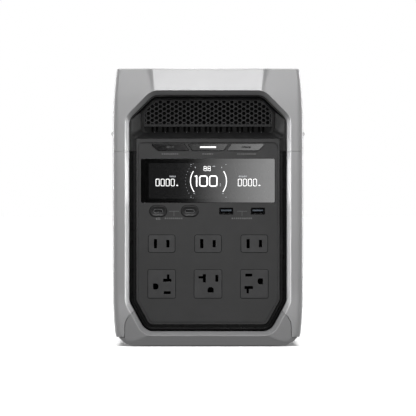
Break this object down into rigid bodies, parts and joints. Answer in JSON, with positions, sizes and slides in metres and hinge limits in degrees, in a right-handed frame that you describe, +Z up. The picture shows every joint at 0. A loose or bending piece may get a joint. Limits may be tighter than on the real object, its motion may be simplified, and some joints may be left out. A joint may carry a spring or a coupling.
{
  "type": "portable power station",
  "caption": "Upright portable power station: silver moulded case framing a dark control panel with screen, buttons, USB ports and mains outlets, with a grip recess and air grille at each end.",
  "frame": {"origin": "on the floor, at the middle of the case's length and width", "axes": "+Z up, the control panel faces -Y, +X to the right of someone facing the panel"},
  "size_m": [0.1976, 0.3976, 0.284],
  "materials": {
    "shell": "light silver-grey moulded plastic, fine even texture",
    "foot_rubber": "black rubber",
    "screw_steel": "plated steel",
    "bezel": "black moulded plastic, fine texture",
    "panel": "dark grey moulded plastic, fine grain",
    "liner": "black moulded plastic, fine texture",
    "grille": "black moulded plastic mesh",
    "filter_foam": "black open-cell foam",
    "lens": "polished black cover lens",
    "module": "grey moulded plastic",
    "circuit_board": "green solder mask",
    "button": "polished dark grey plastic",
    "light_off": "smoked light bar, unlit",
    "light_on": "white light bar, lit",
    "port_surround": "dark grey plastic round a steel-lined socket",
    "port_steel": "formed steel shell",
    "outlet": "dark grey moulded plastic",
    "inlet": "black moulded plastic",
    "cap_rubber": "black rubber",
    "reset": "red moulded plastic",
    "cell_wrap": "blue insulating wrap",
    "inner_plastic": "black moulded plastic",
    "bare_aluminium": "bare sheet and extrusion",
    "copper": "bare copper strap",
    "component_wrap": "taped windings and sleeved capacitors"
  },
  "bodies": {
    "housing": {"upper_shell": "shell", "side_shell_left": "shell", "side_shell_right": "shell", "base_tray": "shell", "foot_pads": "foot_rubber", "case_screws": "screw_steel", "eyelet_left": "shell", "eyelet_right": "shell", "front_bezel": "bezel", "front_panel": "panel", "front_grip_liner": "liner", "front_grille": "grille", "front_louvre": "grille", "front_filter": "filter_foam", "screen_lens": "lens", "display_module": "module", "control_board": "circuit_board", "usb_c_port_1": "port_surround", "usb_c_port_2": "port_surround", "usb_a_port_1": "port_steel", "usb_a_port_2": "port_steel", "outlet_15a_1": "outlet", "outlet_15a_2": "outlet", "outlet_15a_3": "outlet", "outlet_20a_1": "outlet", "outlet_20a_2": "outlet", "outlet_20a_3": "outlet", "rear_bezel": "bezel", "rear_panel": "panel", "rear_grip_liner": "liner", "rear_grille": "grille", "rear_louvre": "grille", "ac_inlet": "inlet", "dc_inlet": "inlet", "car_socket": "port_steel", "cap_pin": "screw_steel", "breaker": "inlet", "battery_cells": "cell_wrap", "cell_tray": "inner_plastic", "cell_end_plates": "bare_aluminium", "busbars": "copper", "bms_board": "circuit_board", "chassis": "bare_aluminium", "inverter_board": "circuit_board", "heat_sink": "bare_aluminium", "power_parts": "component_wrap", "fan_bracket": "bare_aluminium", "fan_frame_1": "inner_plastic", "fan_frame_2": "inner_plastic"},
    "button_ac": {"button_ac": "button", "light_ac": "light_off"},
    "button_power": {"button_power": "button", "light_power": "light_on"},
    "button_usb": {"button_usb": "button", "light_usb": "light_off"},
    "socket_cap": {"socket_cap": "cap_rubber"},
    "reset_button": {"reset_button": "reset"},
    "fan_rotor_1": {"fan_rotor_1": "inner_plastic"},
    "fan_rotor_2": {"fan_rotor_2": "inner_plastic"}
  },
  "joints": [
    {"name": "ac_press", "type": "slide", "parent": "housing", "child": "button_ac", "axis": [0, 1, 0], "range_m": [0, 0.0008], "stiffness_N_per_m": 800, "springref_m": -0.0006},
    {"name": "power_press", "type": "slide", "parent": "housing", "child": "button_power", "axis": [0, 1, 0], "range_m": [0, 0.0008], "stiffness_N_per_m": 800, "springref_m": -0.0006},
    {"name": "usb_press", "type": "slide", "parent": "housing", "child": "button_usb", "axis": [0, 1, 0], "range_m": [0, 0.0008], "stiffness_N_per_m": 800, "springref_m": -0.0006},
    {"name": "reset_press", "type": "slide", "parent": "housing", "child": "reset_button", "axis": [0, -1, 0], "range_m": [0, 0.0025], "stiffness_N_per_m": 700, "springref_m": -0.001},
    {"name": "cap_hinge", "type": "hinge", "parent": "housing", "child": "socket_cap", "pos_m": [-0.044, 0.1925, 0.167], "axis": [1, 0, 0], "range_deg": [0, 150]},
    {"name": "fan_1_spin", "type": "hinge", "parent": "housing", "child": "fan_rotor_1", "pos_m": [-0.032, 0.147, 0.241], "axis": [0, 1, 0], "continuous": true},
    {"name": "fan_2_spin", "type": "hinge", "parent": "housing", "child": "fan_rotor_2", "pos_m": [0.032, 0.147, 0.241], "axis": [0, 1, 0], "continuous": true}
  ]
}
